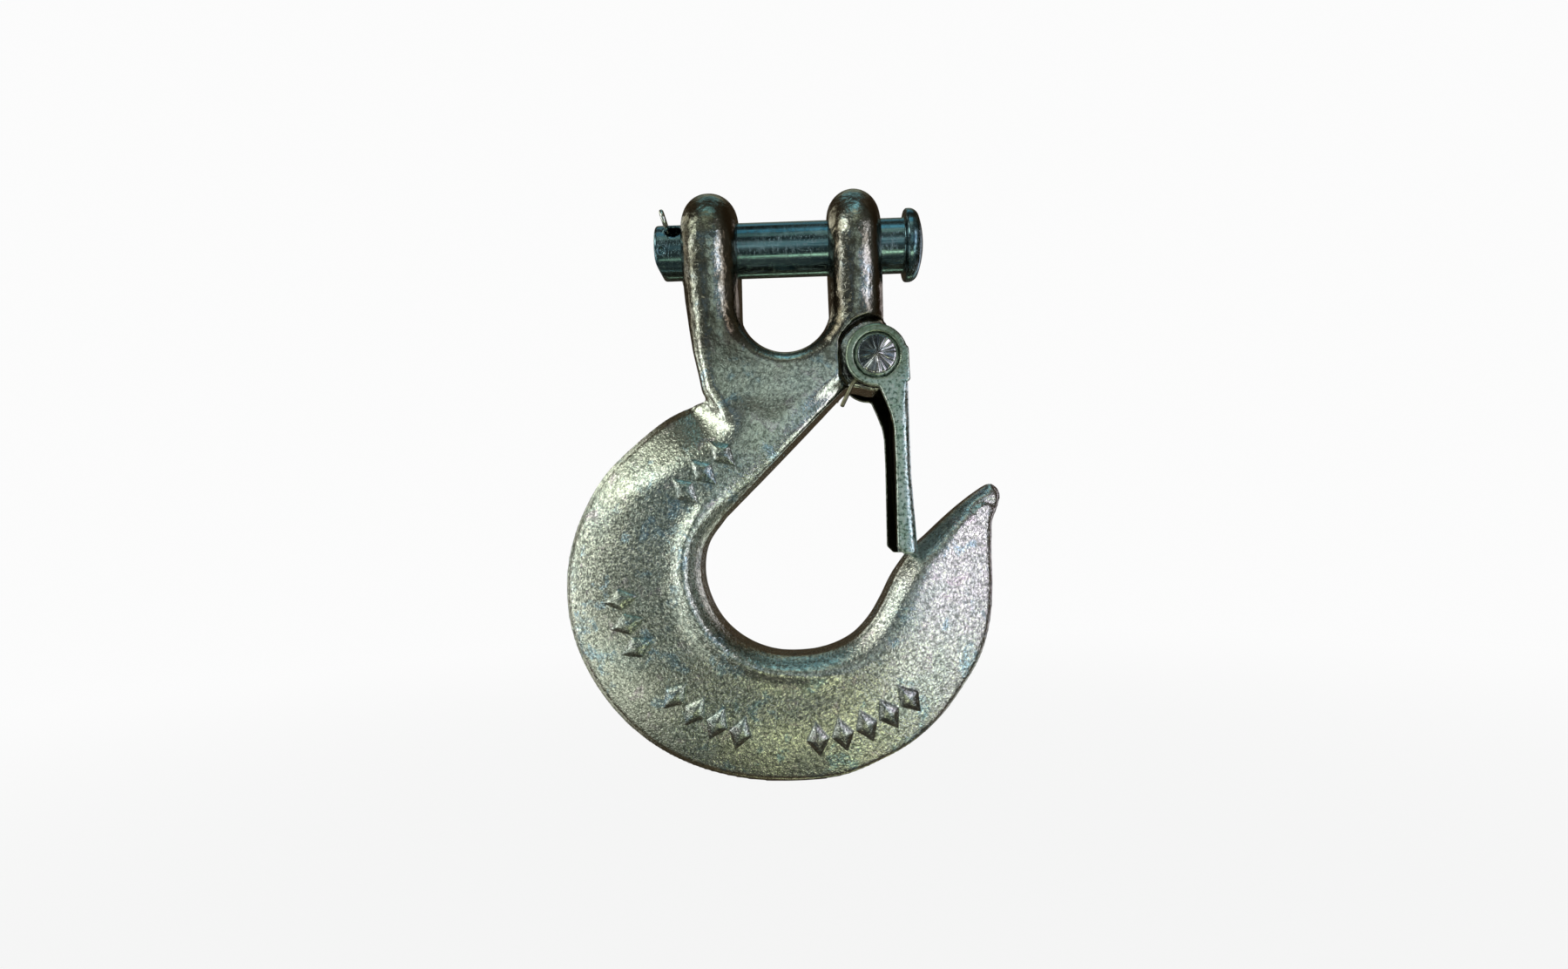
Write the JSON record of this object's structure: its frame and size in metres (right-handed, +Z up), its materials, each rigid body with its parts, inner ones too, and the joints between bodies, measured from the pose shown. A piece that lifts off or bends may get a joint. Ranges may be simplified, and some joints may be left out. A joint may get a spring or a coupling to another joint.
{
  "type": "clevis slip hook",
  "caption": "Forged clevis slip hook with a headed clevis pin, a cotter and a sprung sheet-metal safety latch closing the throat.",
  "frame": {"origin": "on the clevis pin's axis, midway between the two eyes", "axes": "+Z up the chain, away from the bowl; +X along the clevis pin towards its head; Y through the hook's thickness"},
  "size_m": [0.1055, 0.0264, 0.1411],
  "materials": {
    "forging": "zinc with a yellow-green chromate, as-forged grain",
    "pin_steel": "smooth zinc with a blue-green chromate",
    "cotter_wire": "bright zinc",
    "latch_sheet": "satin zinc with an olive chromate",
    "rivet_steel": "turned, radially marked",
    "spring_wire": "dark drawn wire"
  },
  "bodies": {
    "hook": {"hook_body": "forging", "latch_rivet": "rivet_steel", "latch_spring": "spring_wire"},
    "pin": {"clevis_pin": "pin_steel", "cotter_pin": "cotter_wire"},
    "latch": {"safety_latch": "latch_sheet"}
  },
  "joints": [
    {"name": "pin_turn", "type": "hinge", "parent": "hook", "child": "pin", "pos_m": [0, 0, 0], "axis": [1, 0, 0], "continuous": true},
    {"name": "latch_swing", "type": "hinge", "parent": "hook", "child": "latch", "pos_m": [0.0209, 0, -0.0286], "axis": [0, 1, 0], "range_deg": [0, 45], "stiffness_Nm_per_rad": 0.08, "springref_deg": -40.11, "deforming": ["latch_spring"]}
  ]
}
